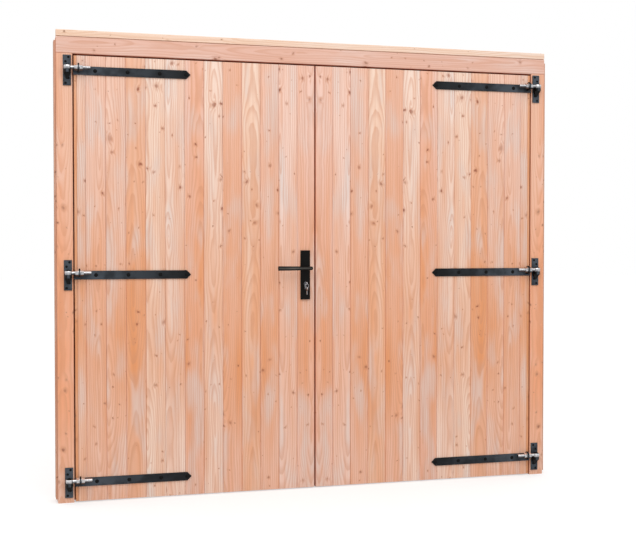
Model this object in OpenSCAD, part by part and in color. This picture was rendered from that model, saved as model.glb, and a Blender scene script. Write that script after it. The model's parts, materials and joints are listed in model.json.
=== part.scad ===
// Double door of Douglas fir in its own frame: two ledged and braced leaves of
// tongue-and-groove boards on adjustable strap hinges, with a lever lock on the
// left leaf and two shoot bolts on the right one.
// X runs to the right seen from outside, Y runs inwards, Z runs up.
// The origin is on the floor, midway between the jambs and midway through the leaves.

/* [Frame] */
// Width of the frame over its jambs
frame_w = 2360; // [2200:10:2480]
// Height of the frame with its top lath
frame_h = 2090; // [2060:5:2160]
// Depth of the frame from front to back
frame_d = 90; // [80:1:120]
// Width of a jamb's front face
jamb_face_w = 70; // [66:1:90]
// Height of the head's front face
head_face_h = 73; // [60:1:85]
// Lap of the stops behind the edges of the leaves
stop_lap = 15; // [8:1:24]
// Height of the lath on top of the head
lath_h = 31; // [20:1:40]
// Depth of the lath on top of the head
lath_d = 28; // [22:1:60]
// Thickness of the battens on the frame's outer sides
batten_t = 9; // [5:1:20]
// Depth of the battens on the frame's outer sides
batten_d = 60; // [40:1:68]
// Setback of the battens from the frame's front
batten_setback = 10; // [4:1:11]
// Height at which the battens stop short of the frame's ends
batten_short = 16; // [5:1:40]
// Height of the shadow gap under the lath
shadow_gap_h = 3; // [1:0.5:6]
// Depth of the shadow gap under the lath
shadow_gap_d = 8; // [4:1:14]
// Chamfer along the edges of the timber
arris = 2.5; // [1:0.5:4]
// Diameter of the fixing holes through the jambs
fixing_d = 10.5; // [8:0.5:13]
// Height of the lower fixing holes
fixing_z = 480; // [250:10:800]
// Spacing of the fixing holes up a jamb
fixing_spacing = 1080; // [900:10:1250]

/* [Leaves] */
// Gap between a leaf and its jamb
side_gap = 6.5; // [5:0.5:8]
// Gap between the leaves and the head
top_gap = 8; // [5:0.5:12]
// Gap between the two leaves
meeting_gap = 7; // [6:0.5:9]
// Gap under the leaves
floor_gap = 5; // [4:0.5:12]
// Gap between the backs of the leaves and the stops
stop_gap = 2; // [1:0.5:4]
// Thickness of the boards
board_t = 18; // [16:1:24]
// Width that a board covers
board_cover = 88; // [80:1:96]
// Width of the hinge stile that shows beside the boards
hinge_reveal = 12; // [4:1:14]
// Depth of the stile's shown edge behind the face of the boards
reveal_set = 3; // [2:0.5:8]
// Width of the board at the meeting edge
meeting_board_w = 83; // [76:1:96]
// Gap between the shoulders of two boards
board_gap = 0.6; // [0.2:0.1:1.2]
// Chamfer along the front edges of a board
vee = 2; // [1:0.5:4]
// Thickness of a board's tongue
tongue_t = 5.5; // [4:0.5:7]
// Length of a board's tongue
tongue_l = 7; // [5:0.5:9]
// Thickness of the stiles, ledges and braces
ledge_t = 40; // [36:1:50]
// Width of the stile at the hinge edge
hinge_stile_w = 70; // [50:1:80]
// Width of the stile at the meeting edge
meeting_stile_w = 95; // [90:1:120]
// Height of the ledges
ledge_h = 120; // [90:1:140]
// Width of the braces
brace_w = 90; // [60:1:110]

/* [Hinges] */
// Height of the bottom straps above the foot of the leaves
strap_rise = 85; // [80:1:140]
// Height of the middle straps as a share of the height of the leaves
middle_strap_share = 0.5094; // [0.42:0.01:0.56]
// Drop of the top straps below the top of the leaves
strap_drop = 66; // [64:1:100]
// Length of a strap
strap_l = 520; // [420:5:700]
// Width of a strap
strap_w = 38; // [34:1:44]
// Thickness of a strap
strap_t = 5; // [4:0.5:6]
// Overhang of a strap past the hinge edge
strap_overhang = 3; // [0:0.5:5]
// Distance of the pin's axis from the frame's outer edge
pin_inset = 47; // [40:1:50]
// Distance of the pin's axis in front of the frame
pin_standoff = 24; // [23:0.5:30]
// Diameter of the hinge pins
pin_d = 14; // [10:1:16]
// Outside diameter of an eye
eye_d = 32; // [28:1:34]
// Height of an eye
eye_h = 17; // [15:1:22]
// Height of the eyes above the middle of their straps
eye_rise = 10; // [4:1:12]
// Diameter of an eyebolt's rod
rod_d = 16; // [12:1:16]
// Length of an eyebolt from the pin's axis to its tail
rod_l = 99; // [90:1:110]
// Distance from the pin's axis to a strap's lug
lug_x = 45; // [42:1:50]
// Thickness of a strap's lug
lug_t = 6; // [5:0.5:9]
// Radius of a strap's lug round the rod
lug_r = 20; // [17:0.5:21]
// Width of a pintle's plate
pintle_w = 35; // [32:1:40]
// Height of a pintle's plate
pintle_h = 134; // [120:1:134]
// Thickness of a pintle's plate
pintle_t = 5; // [4:0.5:6]

/* [Lock] */
// Height of the lever's axis
lever_z = 1035; // [1000:5:1080]
// Distance from the lever's axis down to the cylinder
lock_centres = 72; // [70:1:85]
// Distance of the lock's axes from the meeting edge
backset = 45; // [42:1:50]
// Width of the handle plates
handle_plate_w = 45; // [38:1:55]
// Height of the handle plates
handle_plate_h = 229; // [220:1:250]
// Thickness of the handle plates
handle_plate_t = 8; // [6:0.5:10]
// Length of a lever from its axis to its tip
lever_l = 142; // [110:1:160]
// Length of a lever's heel behind its axis
lever_heel = 24; // [14:1:30]
// Distance from a handle plate to the middle of its lever
lever_reach = 46; // [40:1:55]
// Diameter of a lever's bar at its tip
lever_d = 21; // [18:1:24]
// Diameter of a lever's bar at its heel
lever_heel_d = 17; // [16:0.5:18]
// Side of the square spindle
spindle_w = 8; // [7:0.5:9]
// Throw of the dead bolt
dead_throw = 20; // [12:1:22]
// Turn of the lever, in degrees
lever_turn = 35; // [25:1:40]

/* [Shoot bolts] */
// Diameter of a shoot bolt's rod
shoot_d = 12; // [10:1:14]
// Travel of a shoot bolt
shoot_throw = 25; // [15:1:28]
// Length of a shoot bolt's base plate
shoot_plate_h = 160; // [140:5:220]
// Width of a shoot bolt's base plate
shoot_plate_w = 38; // [32:1:50]
// Distance of a shoot bolt from the meeting edge
shoot_inset = 45; // [35:1:60]

/* [Hidden] */
$fn = 64;
overrun = 1;
brace_play = 0.05;

// Places that follow from the driving sizes
leaf_t = board_t + ledge_t;
front_y = -leaf_t / 2;
ledge_y = front_y + board_t;
back_y = front_y + leaf_t;
stop_y = back_y + stop_gap;
frame_back_y = front_y + frame_d;
frame_x = -frame_w / 2;
leaf_x = frame_x + jamb_face_w + side_gap;
leaf_w = -leaf_x - meeting_gap / 2;
leaf_z = floor_gap;
head_top_z = frame_h - lath_h;
head_z = head_top_z - head_face_h;
leaf_h = head_z - top_gap - leaf_z;
stop_w = side_gap + stop_lap;
lip_z = head_z - top_gap - stop_lap;
lip_x = frame_x + jamb_face_w + stop_w;
fixing_y = front_y + batten_setback + batten_d / 2 - fixing_d;
bottom_strap_z = leaf_z + strap_rise;
middle_strap_z = leaf_z + leaf_h * middle_strap_share;
top_strap_z = leaf_z + leaf_h - strap_drop;
strap_zs = [bottom_strap_z, middle_strap_z, top_strap_z];

// Board layout
smallest_rip_w = 30;
boarded_w = leaf_w - hinge_reveal;
board_count = floor((boarded_w - meeting_board_w - smallest_rip_w) / board_cover);
ripped_w = boarded_w - meeting_board_w - board_count * board_cover;
tongue_play = 0.3;
tongue_y = front_y + (board_t - tongue_t) / 2;

// Strap bolts
strap_bolt_d = 8;
strap_bolt_play = 0.3;
strap_bolt_shares = [0.183, 0.457, 0.733];
strap_bolt_end = 20;
strap_bolt_head_d = 17;
strap_bolt_head_h = 4.5;
strap_nut_af = 13;
strap_nut_t = 6.5;
strap_washer_d = 24;
strap_washer_t = 2;
function strap_bolt_x(place) =
    place < len(strap_bolt_shares) ? strap_bolt_shares[place] * strap_l : strap_l - strap_bolt_end;
strap_bolt_xs = [for (place = [0:len(strap_bolt_shares)]) strap_bolt_x(place) - strap_overhang];

// Hinge hardware
pin_x = pin_inset - jamb_face_w - side_gap;
pin_y = front_y - pin_standoff;
pin_play = 0.05;
eye_seat = 0.3;
eye_crown_share = 1.06;
pin_head_share = 0.88;
pin_head_d = eye_d * pin_head_share;
pin_head_h = 6;
boss_d = 30;
boss_h = 14;
gusset_h = 26;
gusset_toe_w = 8;
gusset_toe_t = 3;
nut_af = 24;
nut_t = 13;
nut_play = 0.2;
corners_share = 1 / cos(30);
washer_d = 30;
washer_t = 2;
washer_seat = 0.05;

// Cross recess of the screws
recess_span_share = 0.56;
recess_slot_share = 0.16;
recess_depth_share = 0.6;

// Pintle screws, staggered in two pairs
screw_d = 5;
screw_l = 45;
screw_head_d = 10.5;
screw_head_h = 3.3;
screw_play = 0.2;
screw_side_share = 0.18;
screw_height_shares = [0.425, 0.28, -0.26, -0.425];
function screw_x(place) = (place % 2 == 0 ? 1 : -1) * pintle_w * screw_side_share;

// Frame corner screws
corner_screw_d = 6;
corner_screw_l = 150;
corner_screw_head_d = 11;
corner_screw_head_h = 4;
corner_screw_shares = [0.3, 0.75];

// Lock
lock_x = -meeting_gap / 2 - backset;
lock_y = ledge_y + ledge_t / 2;
cylinder_z = lever_z - lock_centres;
edge_x = -meeting_gap / 2;
forend_t = 3;
forend_w = 20;
forend_over = 26;
case_t = 16;
case_wall = 1.5;
case_d = 70;
case_over = 40;
case_play = 0.5;
case_z = cylinder_z - case_over;
case_h = lock_centres + case_over * 2;
bolt_t = 11;
bolt_play = 0.4;
latch_h = 26;
latch_short = 1.5;
latch_reach = meeting_gap - latch_short;
latch_head_l = 25;
latch_tail_z = 10.5;
latch_tail_h = 5;
latch_tail_t = 2;
latch_tab_t = 4;
latch_tab_gap = 1.4;
dead_h = 24;
dead_rise = 28;
dead_head_l = 24;
dead_tail_l = 30;
dead_tail_h = 6;
dead_tail_t = 4;
dead_z = cylinder_z + dead_rise;
hub_d = 18;
hub_play = 0.1;
arm_w = 6;
arm_t = 6;
arm_r = 13;
spindle_play = 0.1;
spindle_in = 22;
spindle_hole_d = 24;

// Euro-profile cylinder
cylinder_d = 17;
cylinder_web_w = 10;
cylinder_web_h = 25;
cylinder_proud = 3;
cylinder_play = 0.3;
cylinder_cut = 1;
cylinder_y = front_y - handle_plate_t - cylinder_proud;
cylinder_l = leaf_t + (handle_plate_t + cylinder_proud) * 2;
plug_d = 13;
plug_play = 0.05;
cam_r = 15;
cam_w = 8;
cam_t = 9.6;
cam_slot_t = 10.4;
cam_slot_play = 0.6;

// Keys
key_t = 2.2;
key_blade_h = 8;
key_blade_l = 28;
keyway_play = 0.15;
key_neck_l = 5;
key_bow_d = 20;
key_hole_d = 6;
key_hole_edge = 5;
key_ring_r = 9;
key_ring_wire_d = 1.8;
key_hang = 1;
spare_key_turn = 12;
spare_blade_l = 16;
spare_blade_h = 6;

// Handle plates
handle_plate_edge = 1.5;
handle_plate_top = 83;
neck_d = 16;
neck_play = 0.2;
lever_tip_edge = 1.5;
plate_bolt_d = 5;
plate_bolt_play = 0.2;
plate_bolt_head_d = 9;
plate_bolt_head_h = 3;
plate_bolt_rise = 55;
plate_bolt_drop = 124;
plate_bolt_bite = 5;

// Strike plate
strike_t = 3;
strike_w = 22;
strike_over = 20;
strike_z = dead_z - dead_h / 2 - strike_over;
strike_h = lever_z + latch_h / 2 + strike_over - strike_z;
strike_play = 1.5;
pocket_d = 18;

// Shoot bolts
shoot_plate_t = 3;
shoot_loop_w = 26;
shoot_loop_h = 20;
shoot_loop_in = 8;
shoot_loop_wall = 6;
shoot_play = 0.2;
shoot_axis = 14;
shoot_clear = 3;
shoot_set = 10;
shoot_tail = 10;
shoot_knob_d = 9;
shoot_knob_l = 22;
shoot_knob_share = 0.32;
keep_play = 1;
keep_depth = 10;
shoot_x = meeting_gap / 2 + shoot_inset;
shoot_y = back_y + shoot_axis;

wood = "#e2ae8c";
pale_wood = "#ecc3a4";
black_steel = "#2b2c2f";
zinc = "#b9bdc0";
brass = "#b8a06a";

// Placing helpers: a leaf is drawn from its hinge edge at x = 0 towards the meeting edge
module left_leaf() {
    translate([leaf_x, 0, 0]) children();
}

module right_leaf() {
    mirror([1, 0, 0]) left_leaf() children();
}

module on_right() {
    mirror([1, 0, 0]) children();
}

// Extrudes an outline drawn in X and Z, from its back face forwards
module slab(back, thickness) {
    translate([0, back, 0]) rotate([90, 0, 0]) linear_extrude(height = thickness) children();
}

// Round bar along Y, from its front end backwards
module bar_y(d, front, length) {
    translate([0, front, 0]) rotate([-90, 0, 0]) cylinder(d = d, h = length);
}

// Round bar along X
module bar_x(d, length) {
    rotate([0, 90, 0]) cylinder(d = d, h = length);
}

// Low dome that stands on the XY plane
module dome(d, h) {
    ball_r = (d * d / 4 + h * h) / (2 * h);
    intersection() {
        translate([0, 0, h - ball_r]) sphere(r = ball_r);
        cylinder(d = d, h = h);
    }
}

// Hexagonal nut along Z with a clear bore
module hex_nut(af, h, bore_d) {
    difference() {
        cylinder(d = af * corners_share, h = h, $fn = 6);
        translate([0, 0, -overrun]) cylinder(d = bore_d, h = h + 2 * overrun);
    }
}

module washer(d, h, bore_d) {
    difference() {
        cylinder(d = d, h = h);
        translate([0, 0, -overrun]) cylinder(d = bore_d, h = h + 2 * overrun);
    }
}

// Countersunk screw whose head is flush at y = 0 and whose shank runs inwards
module countersunk_screw(d, l, head_d, head_h) {
    rotate([-90, 0, 0]) union() {
        cylinder(d1 = head_d, d2 = d, h = head_h);
        cylinder(d = d, h = l);
    }
}

// The same screw with a cross recess in its head
module driven_screw(d, l, head_d, head_h) {
    span = head_d * recess_span_share;
    slot = head_d * recess_slot_share;
    depth = head_h * recess_depth_share;
    difference() {
        countersunk_screw(d, l, head_d, head_h);
        for (turn = [0, 90])
            rotate([0, turn, 0]) translate([-span / 2, -overrun, -slot / 2]) cube([span, depth + overrun, slot]);
    }
}

// Frame timber
module jamb() {
    outer = frame_x;
    inner = frame_x + jamb_face_w;
    difference() {
        linear_extrude(height = head_z) polygon([
            [outer + arris, front_y], [inner - arris, front_y], [inner, front_y + arris],
            [inner, stop_y], [inner + stop_w, stop_y], [inner + stop_w, frame_back_y],
            [outer, frame_back_y], [outer, front_y + arris]
        ]);
        jamb_fixing_holes();
    }
}

module jamb_fixing_holes() {
    for (z = [fixing_z, fixing_z + fixing_spacing])
        translate([frame_x - batten_t - overrun, fixing_y, z])
            bar_x(fixing_d, jamb_face_w + stop_w + batten_t + 2 * overrun);
}

module left_jamb() {
    color(wood) jamb();
}

module right_jamb() {
    color(wood) on_right() jamb();
}

module head_rail() {
    color(wood) difference() {
        union() {
            translate([frame_x, 0, 0]) rotate([90, 0, 90]) linear_extrude(height = frame_w) polygon([
                [front_y + arris, head_z], [frame_back_y, head_z], [frame_back_y, head_top_z],
                [front_y, head_top_z], [front_y, head_z + arris]
            ]);
            translate([lip_x, stop_y, lip_z])
                cube([-2 * lip_x, frame_back_y - stop_y, head_z - lip_z + arris]);
        }
        translate([shoot_x, shoot_y, lip_z - overrun])
            cylinder(d = shoot_d + 2 * keep_play, h = overrun + shoot_throw + keep_depth);
    }
}

module head_lath() {
    color(pale_wood) translate([frame_x, 0, 0]) rotate([90, 0, 90]) linear_extrude(height = frame_w)
        polygon([
            [front_y + shadow_gap_d, head_top_z], [front_y + lath_d, head_top_z],
            [front_y + lath_d, frame_h], [front_y + arris, frame_h],
            [front_y, frame_h - arris], [front_y, head_top_z + shadow_gap_h],
            [front_y + shadow_gap_d, head_top_z + shadow_gap_h]
        ]);
}

module batten() {
    difference() {
        translate([frame_x - batten_t, front_y + batten_setback, batten_short])
            cube([batten_t, batten_d, head_top_z - 2 * batten_short]);
        jamb_fixing_holes();
    }
}

module side_battens() {
    color(wood) {
        batten();
        on_right() batten();
    }
}

// Pintles: a screwed plate with a boss that carries the hinge pin
module pintle_outline() {
    square([pintle_w, pintle_h], center = true);
}

module pintle_screw_places() {
    for (place = [0:len(screw_height_shares) - 1])
        translate([screw_x(place), front_y - pintle_t, pintle_h * screw_height_shares[place]]) children();
}

module pintle_gusset(top) {
    foot_z = top - boss_h;
    plate_y = front_y - pintle_t;
    translate([0, pin_y, foot_z]) cylinder(d = boss_d, h = boss_h);
    translate([-boss_d / 2, pin_y, foot_z]) cube([boss_d, plate_y - pin_y, boss_h]);
    intersection() {
        slab(plate_y, pin_standoff + boss_d) polygon([
            [-boss_d / 2, foot_z], [boss_d / 2, foot_z],
            [gusset_toe_w / 2, foot_z - gusset_h], [-gusset_toe_w / 2, foot_z - gusset_h]
        ]);
        translate([-boss_d / 2, 0, 0]) rotate([90, 0, 90]) linear_extrude(height = boss_d) polygon([
            [plate_y, foot_z], [pin_y, foot_z],
            [plate_y - gusset_toe_t, foot_z - gusset_h], [plate_y, foot_z - gusset_h]
        ]);
    }
}

module pintle(strap_z) {
    seat = eye_rise - eye_h / 2 - eye_seat;
    translate([leaf_x + pin_x, 0, strap_z]) difference() {
        union() {
            slab(front_y, pintle_t) pintle_outline();
            pintle_gusset(seat);
        }
        translate([0, pin_y, seat - boss_h]) cylinder(d = pin_d + 2 * pin_play, h = boss_h + overrun);
        pintle_screw_places() pintle_screw(screw_play);
    }
}

module pintle_screw(play) {
    countersunk_screw(screw_d + 2 * play, screw_l, screw_head_d + 2 * play, screw_head_h + play);
}

module driven_pintle_screw() {
    driven_screw(screw_d, screw_l, screw_head_d, screw_head_h);
}

module hinge_pin(strap_z) {
    top = eye_rise + eye_h / 2 + eye_seat;
    seat = eye_rise - eye_h / 2 - eye_seat;
    translate([leaf_x + pin_x, pin_y, strap_z]) {
        translate([0, 0, seat - boss_h]) cylinder(d = pin_d, h = top + boss_h - seat);
        translate([0, 0, top]) dome(pin_head_d, pin_head_h);
    }
}

module hinge_pins() {
    color(black_steel) for (strap_z = strap_zs) {
        hinge_pin(strap_z);
        on_right() hinge_pin(strap_z);
    }
}

module corner_screws() {
    for (share = corner_screw_shares)
        translate([frame_x + jamb_face_w * share, (stop_y + front_y) / 2 + lath_d / 2, head_top_z])
            rotate([-90, 0, 0])
                driven_screw(corner_screw_d, corner_screw_l, corner_screw_head_d, corner_screw_head_h);
}

module side_screws() {
    for (strap_z = strap_zs)
        translate([leaf_x + pin_x, 0, strap_z]) pintle_screw_places() driven_pintle_screw();
    corner_screws();
}

module frame_screws() {
    color(black_steel) {
        side_screws();
        on_right() side_screws();
    }
}

// Boards of a leaf, in X from the hinge edge
module board(start, width, grooved, tongued) {
    x0 = start + (grooved ? board_gap / 2 : 0);
    x1 = start + width - (tongued ? board_gap / 2 : 0);
    tongue_back = tongue_y + tongue_t;
    tongue = tongued ? [
        [x1, tongue_y], [x1 + tongue_l, tongue_y],
        [x1 + tongue_l, tongue_back], [x1, tongue_back]
    ] : [];
    groove = grooved ? [
        [x0, tongue_back + tongue_play], [x0 + tongue_l, tongue_back + tongue_play],
        [x0 + tongue_l, tongue_y - tongue_play], [x0, tongue_y - tongue_play]
    ] : [];
    translate([0, 0, leaf_z]) linear_extrude(height = leaf_h) polygon(concat(
        [[x0 + vee, front_y], [x1 - vee, front_y], [x1, front_y + vee]],
        tongue,
        [[x1, ledge_y], [x0, ledge_y]],
        groove,
        [[x0, front_y + vee]]
    ));
}

module strap_bolt_holes() {
    for (strap_z = strap_zs, x = strap_bolt_xs)
        translate([x, 0, strap_z])
            bar_y(strap_bolt_d + 2 * strap_bolt_play, front_y - strap_t - overrun, leaf_t + strap_t + 2 * overrun);
}

module field_boards() {
    difference() {
        union() {
            board(hinge_reveal, ripped_w, false, true);
            for (place = [0:board_count - 1])
                board(hinge_reveal + ripped_w + place * board_cover, board_cover, true, true);
        }
        strap_bolt_holes();
    }
}

module meeting_board() {
    board(leaf_w - meeting_board_w, meeting_board_w, true, false);
}

module left_boards() {
    color(pale_wood) left_leaf() field_boards();
}

module left_meeting_board() {
    color(pale_wood) difference() {
        left_leaf() meeting_board();
        lock_through_cuts();
    }
}

module right_boards() {
    color(pale_wood) right_leaf() {
        field_boards();
        meeting_board();
    }
}

// Stiles, ledges and braces on the back of a leaf
module hinge_stile() {
    lip_y = front_y + reveal_set;
    translate([0, ledge_y, leaf_z]) cube([hinge_stile_w, ledge_t, leaf_h]);
    translate([0, lip_y, leaf_z]) cube([hinge_reveal - board_gap, ledge_y + overrun - lip_y, leaf_h]);
}

module meeting_stile() {
    translate([leaf_w - meeting_stile_w, ledge_y, leaf_z]) cube([meeting_stile_w, ledge_t, leaf_h]);
}

module ledge(strap_z) {
    difference() {
        translate([hinge_stile_w, ledge_y, strap_z - ledge_h / 2])
            cube([leaf_w - hinge_stile_w - meeting_stile_w, ledge_t, ledge_h]);
        strap_bolt_holes();
    }
}

// A brace rises from the hinge side to the meeting side between two ledges
module brace(low_z, high_z) {
    bay_w = leaf_w - hinge_stile_w - meeting_stile_w - 2 * brace_play;
    bay_z = low_z + ledge_h / 2 + brace_play;
    bay_h = high_z - ledge_h / 2 - brace_play - bay_z;
    bay_slope = atan2(bay_h, bay_w);
    bay_diagonal = norm([bay_w, bay_h]);
    translate([hinge_stile_w + brace_play, ledge_y, bay_z]) intersection() {
        cube([bay_w, ledge_t, bay_h]);
        rotate([0, -bay_slope, 0]) translate([-brace_w, 0, -brace_w / 2])
            cube([bay_diagonal + 2 * brace_w, ledge_t, brace_w]);
    }
}

module left_hinge_stile() {
    color(wood) left_leaf() hinge_stile();
}

module left_lock_stile() {
    color(wood) difference() {
        left_leaf() meeting_stile();
        lock_mortise();
        lock_through_cuts();
    }
}

module left_top_ledge() {
    color(wood) left_leaf() ledge(top_strap_z);
}

module left_middle_ledge() {
    color(wood) left_leaf() ledge(middle_strap_z);
}

module left_bottom_ledge() {
    color(wood) left_leaf() ledge(bottom_strap_z);
}

module left_upper_brace() {
    color(wood) left_leaf() brace(middle_strap_z, top_strap_z);
}

module left_lower_brace() {
    color(wood) left_leaf() brace(bottom_strap_z, middle_strap_z);
}

module right_hinge_stile() {
    color(wood) right_leaf() hinge_stile();
}

module right_meeting_stile() {
    color(wood) difference() {
        right_leaf() meeting_stile();
        strike_recess();
    }
}

module right_top_ledge() {
    color(wood) right_leaf() ledge(top_strap_z);
}

module right_middle_ledge() {
    color(wood) right_leaf() ledge(middle_strap_z);
}

module right_bottom_ledge() {
    color(wood) right_leaf() ledge(bottom_strap_z);
}

module right_upper_brace() {
    color(wood) right_leaf() brace(middle_strap_z, top_strap_z);
}

module right_lower_brace() {
    color(wood) right_leaf() brace(bottom_strap_z, middle_strap_z);
}

// Straps with their lugs
module strap_outline() {
    half = strap_w / 2;
    polygon([[0, -half], [strap_l - half, -half], [strap_l, 0], [strap_l - half, half], [0, half]]);
}

module strap_lug() {
    face_y = front_y - strap_t;
    foot_top = min(strap_w / 2, eye_rise + lug_r);
    translate([pin_x + lug_x, 0, 0]) difference() {
        union() {
            intersection() {
                translate([0, pin_y, eye_rise]) bar_x(2 * lug_r, lug_t);
                translate([0, pin_y - lug_r, eye_rise - lug_r]) cube([lug_t, face_y - pin_y + lug_r, 2 * lug_r]);
            }
            translate([0, pin_y, eye_rise - lug_r])
                cube([lug_t, face_y - pin_y, foot_top - eye_rise + lug_r]);
        }
        translate([-overrun, pin_y, eye_rise]) bar_x(rod_d + 2 * nut_play, lug_t + 2 * overrun);
    }
}

module strap(strap_z) {
    difference() {
        translate([0, 0, strap_z]) {
            translate([-strap_overhang, 0, 0]) slab(front_y, strap_t) strap_outline();
            strap_lug();
        }
        strap_bolt_holes();
    }
}

module left_top_strap() {
    color(black_steel) left_leaf() strap(top_strap_z);
}

module left_middle_strap() {
    color(black_steel) left_leaf() strap(middle_strap_z);
}

module left_bottom_strap() {
    color(black_steel) left_leaf() strap(bottom_strap_z);
}

module right_top_strap() {
    color(black_steel) right_leaf() strap(top_strap_z);
}

module right_middle_strap() {
    color(black_steel) right_leaf() strap(middle_strap_z);
}

module right_bottom_strap() {
    color(black_steel) right_leaf() strap(bottom_strap_z);
}

// Eyebolts that turn on the hinge pins, and the nuts that set them
module eyebolt(strap_z) {
    translate([pin_x, pin_y, strap_z + eye_rise]) difference() {
        union() {
            intersection() {
                translate([0, 0, -eye_h / 2]) cylinder(d = eye_d, h = eye_h);
                sphere(d = eye_d * eye_crown_share);
            }
            bar_x(rod_d, rod_l);
        }
        translate([0, 0, -eye_h]) cylinder(d = pin_d + 2 * pin_play, h = 2 * eye_h);
    }
}

module eyebolts() {
    for (strap_z = strap_zs) eyebolt(strap_z);
}

module adjusting_nuts() {
    for (strap_z = strap_zs) translate([pin_x + lug_x, pin_y, strap_z + eye_rise]) {
        translate([-washer_t, 0, 0]) rotate([0, 90, 0]) washer(washer_d, washer_t, rod_d + 2 * nut_play);
        translate([lug_t, 0, 0]) rotate([0, 90, 0]) washer(washer_d, washer_t, rod_d + 2 * nut_play);
        translate([-washer_t - washer_seat - nut_t, 0, 0]) rotate([0, 90, 0]) hex_nut(nut_af, nut_t, rod_d + 2 * nut_play);
        translate([lug_t + washer_t + washer_seat, 0, 0]) rotate([0, 90, 0]) hex_nut(nut_af, nut_t, rod_d + 2 * nut_play);
    }
}

// Coach bolts through straps, boards and ledges, each with its washer and nut
module strap_bolt() {
    tail = strap_washer_t + washer_seat + strap_nut_t;
    face_y = front_y - strap_t;
    bar_y(strap_bolt_d, face_y, strap_t + leaf_t + tail);
    translate([0, face_y, 0]) rotate([90, 0, 0]) dome(strap_bolt_head_d, strap_bolt_head_h);
    translate([0, back_y, 0]) rotate([-90, 0, 0])
        washer(strap_washer_d, strap_washer_t, strap_bolt_d + 2 * strap_bolt_play);
    translate([0, back_y + strap_washer_t + washer_seat, 0]) rotate([-90, 0, 0])
        hex_nut(strap_nut_af, strap_nut_t, strap_bolt_d + 2 * strap_bolt_play);
}

module strap_bolts() {
    for (strap_z = strap_zs, x = strap_bolt_xs)
        translate([x, 0, strap_z]) strap_bolt();
}

module left_eyebolts() {
    color(zinc) left_leaf() eyebolts();
}

module left_adjusting_nuts() {
    color(zinc) left_leaf() adjusting_nuts();
}

module left_strap_bolts() {
    color(black_steel) left_leaf() strap_bolts();
}

module right_eyebolts() {
    color(zinc) right_leaf() eyebolts();
}

module right_adjusting_nuts() {
    color(zinc) right_leaf() adjusting_nuts();
}

module right_strap_bolts() {
    color(black_steel) right_leaf() strap_bolts();
}

// Lock: the outline of a euro-profile cylinder, grown by a play
module cylinder_outline(play) {
    circle(d = cylinder_d + 2 * play);
    translate([-cylinder_web_w / 2 - play, -cylinder_web_h - play])
        square([cylinder_web_w + 2 * play, cylinder_web_h + play]);
}

module cylinder_cutter(play, back, length) {
    translate([lock_x, 0, cylinder_z]) slab(back, length) cylinder_outline(play);
}

module lock_through_cuts() {
    depth = leaf_t + 2 * overrun;
    translate([lock_x, 0, lever_z]) bar_y(spindle_hole_d, front_y - overrun, depth);
    cylinder_cutter(cylinder_cut, back_y + overrun, depth);
    for (z = [lever_z + plate_bolt_rise, lever_z - plate_bolt_drop])
        translate([lock_x, 0, z]) bar_y(plate_bolt_d + 2 * plate_bolt_play, front_y - overrun, depth);
}

module forend_block(play) {
    translate([edge_x - forend_t - play, lock_y - forend_w / 2 - play, case_z - forend_over - play])
        cube([forend_t + play + overrun, forend_w + 2 * play, case_h + 2 * forend_over + 2 * play]);
}

module case_block(play) {
    translate([edge_x - forend_t - case_d - play, lock_y - case_t / 2 - play, case_z - play])
        cube([case_d + 2 * play, case_t + 2 * play, case_h + 2 * play]);
}

module lock_mortise() {
    forend_block(case_play / 2);
    case_block(case_play);
}

// Rectangular way for a sliding bolt, seen along X
module bolt_way(z, h, play, start, length) {
    translate([start, lock_y - bolt_t / 2 - play, z - h / 2 - play])
        cube([length, bolt_t + 2 * play, h + 2 * play]);
}

module lock_case() {
    inner_x = edge_x - forend_t - case_d + case_wall;
    color(zinc) difference() {
        union() {
            intersection() {
                forend_block(0);
                translate([edge_x - forend_t, lock_y - forend_w, 0]) cube([forend_t, 2 * forend_w, frame_h]);
            }
            case_block(0);
        }
        translate([inner_x, lock_y - case_t / 2 + case_wall, case_z + case_wall])
            cube([case_d - 2 * case_wall, case_t - 2 * case_wall, case_h - 2 * case_wall]);
        bolt_way(lever_z, latch_h, bolt_play, edge_x - forend_t - 2 * case_wall, forend_t + 3 * case_wall);
        bolt_way(dead_z, dead_h, bolt_play, edge_x - forend_t - 2 * case_wall, forend_t + 3 * case_wall);
        translate([lock_x, 0, lever_z]) bar_y(hub_d + 2 * hub_play, lock_y - case_t, 2 * case_t);
        cylinder_cutter(cylinder_play, lock_y + case_t, 2 * case_t);
    }
}

module lock_cylinder() {
    color(zinc) difference() {
        cylinder_cutter(0, cylinder_y + cylinder_l, cylinder_l);
        translate([lock_x, 0, cylinder_z])
            bar_y(plug_d + 2 * plug_play, cylinder_y - overrun, cylinder_l + 2 * overrun);
        translate([lock_x - cylinder_d, lock_y - cam_slot_t / 2, cylinder_z - cam_r - cam_slot_play])
            cube([2 * cylinder_d, cam_slot_t, cam_r + cam_slot_play + cylinder_d]);
    }
}

// Front plate from its face forwards, with chamfered long edges
module handle_plate() {
    half = handle_plate_w / 2;
    face = -handle_plate_t;
    translate([0, 0, handle_plate_top - handle_plate_h]) linear_extrude(height = handle_plate_h) polygon([
        [-half, 0], [half, 0], [half, face + handle_plate_edge], [half - handle_plate_edge, face],
        [handle_plate_edge - half, face], [-half, face + handle_plate_edge]
    ]);
}

module outer_handle_plate() {
    color(black_steel) difference() {
        translate([lock_x, front_y, lever_z]) handle_plate();
        translate([lock_x, 0, lever_z])
            bar_y(neck_d + 2 * neck_play, front_y - handle_plate_t - overrun, handle_plate_t + 2 * overrun);
        cylinder_cutter(cylinder_play, front_y + overrun, handle_plate_t + 2 * overrun);
        for (z = [lever_z + plate_bolt_rise, lever_z - plate_bolt_drop])
            translate([lock_x, 0, z])
                bar_y(plate_bolt_d + 2 * plate_bolt_play, front_y - plate_bolt_bite, plate_bolt_bite + overrun);
    }
}

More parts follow.
